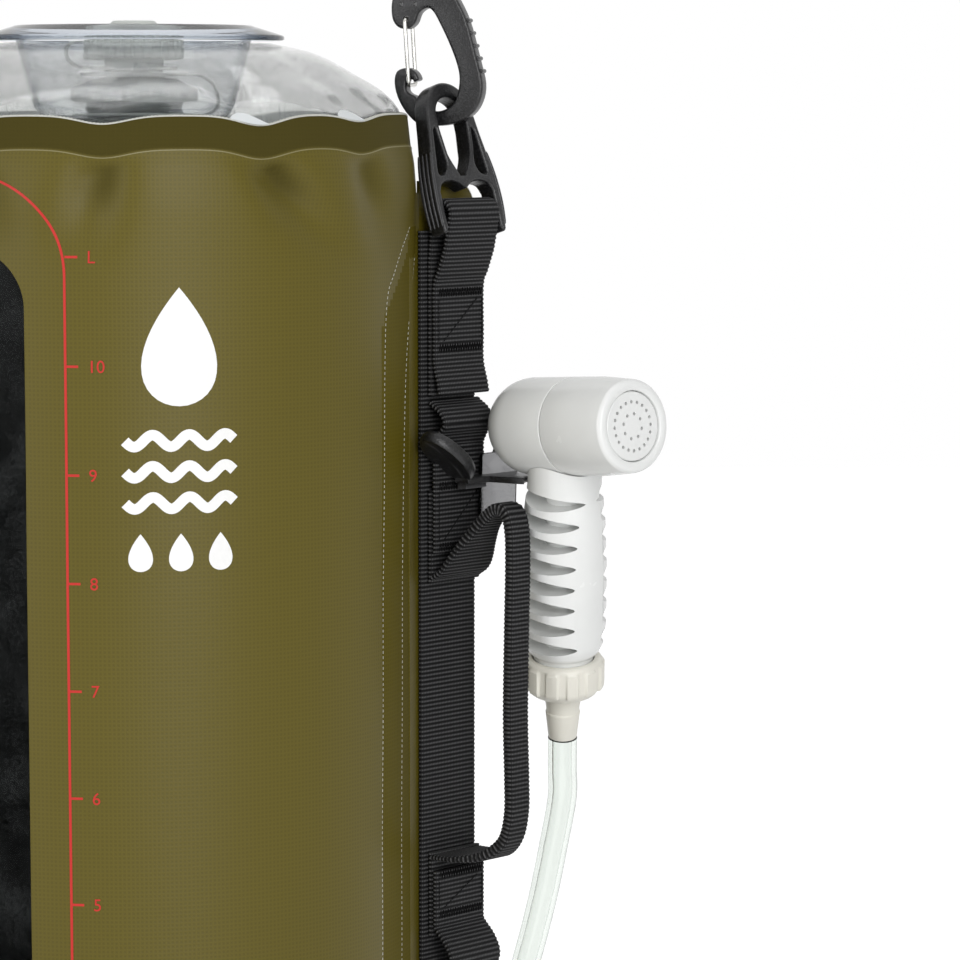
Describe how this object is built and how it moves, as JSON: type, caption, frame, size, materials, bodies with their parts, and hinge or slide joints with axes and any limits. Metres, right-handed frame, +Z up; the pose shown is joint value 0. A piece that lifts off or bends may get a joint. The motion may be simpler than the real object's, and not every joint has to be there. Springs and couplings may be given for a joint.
{
  "type": "portable camp shower",
  "caption": "Free-standing fabric water bag with a clear domed top, filler well and caps, side webbing with rings and carabiners, and a shower handset on a hose parked in a holder.",
  "frame": {"origin": "centre of the flat base, at the floor", "axes": "+Z up the bag, -Y out of the printed front, +X towards the handset"},
  "size_m": [0.3082, 0.2378, 0.4708],
  "materials": {
    "olive_coated_fabric": "satin coated fabric with a fine weave",
    "clear_film": "glossy clear flexible film",
    "clear_moulding": "glossy clear moulded plastic",
    "translucent_cap": "milky translucent plastic",
    "grey_neck": "smooth dark grey plastic",
    "seal_rubber": "matte rubber",
    "black_webbing": "ribbed woven webbing",
    "black_acetal": "satin moulded plastic",
    "steel_wire": "polished wire",
    "white_plastic": "glossy white moulded plastic",
    "ivory_plastic": "satin ivory moulded plastic",
    "clear_hose": "clear flexible vinyl",
    "smoky_plastic": "glossy smoky plastic"
  },
  "bodies": {
    "bag": {"bag_tube": "olive_coated_fabric", "window_film": "clear_film", "bag_base": "olive_coated_fabric", "top_film": "clear_film", "filler_well": "clear_moulding", "filler_neck": "grey_neck", "cap_tether": "translucent_cap", "side_flange_right": "olive_coated_fabric", "side_flange_left": "olive_coated_fabric", "side_strap_right": "black_webbing", "side_strap_left": "black_webbing", "ring_loop_right": "black_webbing", "ring_loop_left": "black_webbing", "holder_loop": "black_webbing", "mid_loop_left": "black_webbing", "lower_loop_right": "black_webbing", "lower_loop_left": "black_webbing", "carry_handle": "black_webbing", "handset_holder": "black_acetal", "holder_tongue": "smoky_plastic", "outlet_flange": "black_acetal", "outlet_washer": "seal_rubber", "outlet_locknut": "black_acetal", "tap_body": "black_acetal", "hose": "clear_hose"},
    "ring_right": {"strap_ring_right": "black_acetal"},
    "ring_left": {"strap_ring_left": "black_acetal"},
    "carabiner_right": {"carabiner_body_right": "black_acetal"},
    "carabiner_left": {"carabiner_body_left": "black_acetal"},
    "gate_right": {"carabiner_gate_right": "steel_wire"},
    "gate_left": {"carabiner_gate_left": "steel_wire"},
    "filler_seal": {"filler_gasket": "seal_rubber"},
    "filler_cap": {"filler_cap": "translucent_cap", "spout_tether": "translucent_cap"},
    "spout_seal": {"spout_gasket": "seal_rubber"},
    "spout_cap": {"spout_cap": "translucent_cap"},
    "handset": {"handset_rear_shell": "white_plastic", "handset_front_shell": "white_plastic", "spray_plate": "white_plastic", "handset_grip": "white_plastic", "nut_washer": "seal_rubber", "hose_tail": "ivory_plastic"},
    "union_nut": {"union_nut": "ivory_plastic"},
    "tap_lever": {"tap_lever": "black_acetal"}
  },
  "joints": [
    {"name": "ring_swing_right", "type": "hinge", "parent": "bag", "child": "ring_right", "pos_m": [0.11295, 0.00314, 0.391], "axis": [0.6561, 0.7547, 0], "range_deg": [0, 75]},
    {"name": "ring_swing_left", "type": "hinge", "parent": "bag", "child": "ring_left", "pos_m": [-0.11295, 0.00314, 0.391], "axis": [0.6561, -0.7547, 0], "range_deg": [0, 75]},
    {"name": "carabiner_swing_right", "type": "hinge", "parent": "ring_right", "child": "carabiner_right", "pos_m": [0.10347, 0.01137, 0.43207], "axis": [0.2419, 0.9703, 0], "range_deg": [-6, 60]},
    {"name": "carabiner_swing_left", "type": "hinge", "parent": "ring_left", "child": "carabiner_left", "pos_m": [-0.10347, 0.01137, 0.43207], "axis": [0.2419, -0.9703, 0], "range_deg": [-6, 60]},
    {"name": "gate_right", "type": "hinge", "parent": "carabiner_right", "child": "gate_right", "pos_m": [0.09299, 0.01399, 0.45707], "axis": [-0.2419, -0.9703, 0], "range_deg": [0, 22], "stiffness_Nm_per_rad": 0.04, "springref_deg": -5.73},
    {"name": "gate_left", "type": "hinge", "parent": "carabiner_left", "child": "gate_left", "pos_m": [-0.09299, 0.01399, 0.45707], "axis": [-0.2419, 0.9703, 0], "range_deg": [0, 22], "stiffness_Nm_per_rad": 0.04, "springref_deg": -5.73},
    {"name": "filler_cap_lift", "type": "slide", "parent": "bag", "child": "filler_seal", "axis": [0, 0, 1], "range_m": [0, 0.06], "deforming": ["cap_tether"]},
    {"name": "filler_cap_turn", "type": "hinge", "parent": "filler_seal", "child": "filler_cap", "pos_m": [0, 0, 0.432], "axis": [0, 0, 1], "continuous": true},
    {"name": "spout_cap_lift", "type": "slide", "parent": "filler_cap", "child": "spout_seal", "axis": [0, 0, 1], "range_m": [0, 0.02], "deforming": ["spout_tether"]},
    {"name": "spout_cap_turn", "type": "hinge", "parent": "spout_seal", "child": "spout_cap", "pos_m": [0, 0, 0.45], "axis": [0, 0, 1], "continuous": true},
    {"name": "handset_pull", "type": "slide", "parent": "bag", "child": "handset", "axis": [0.6817, -0.7285, 0.068], "range_m": [0, 0.04], "deforming": ["hose"]},
    {"name": "union_nut_spin", "type": "hinge", "parent": "handset", "child": "union_nut", "pos_m": [0.14654, 0.01469, 0.23013], "axis": [0.0104, -0.2586, 0.9659], "continuous": true},
    {"name": "tap_turn", "type": "hinge", "parent": "bag", "child": "tap_lever", "pos_m": [-0.04664, 0.11543, 0.0425], "axis": [0, 0, 1], "range_deg": [0, 90]}
  ]
}
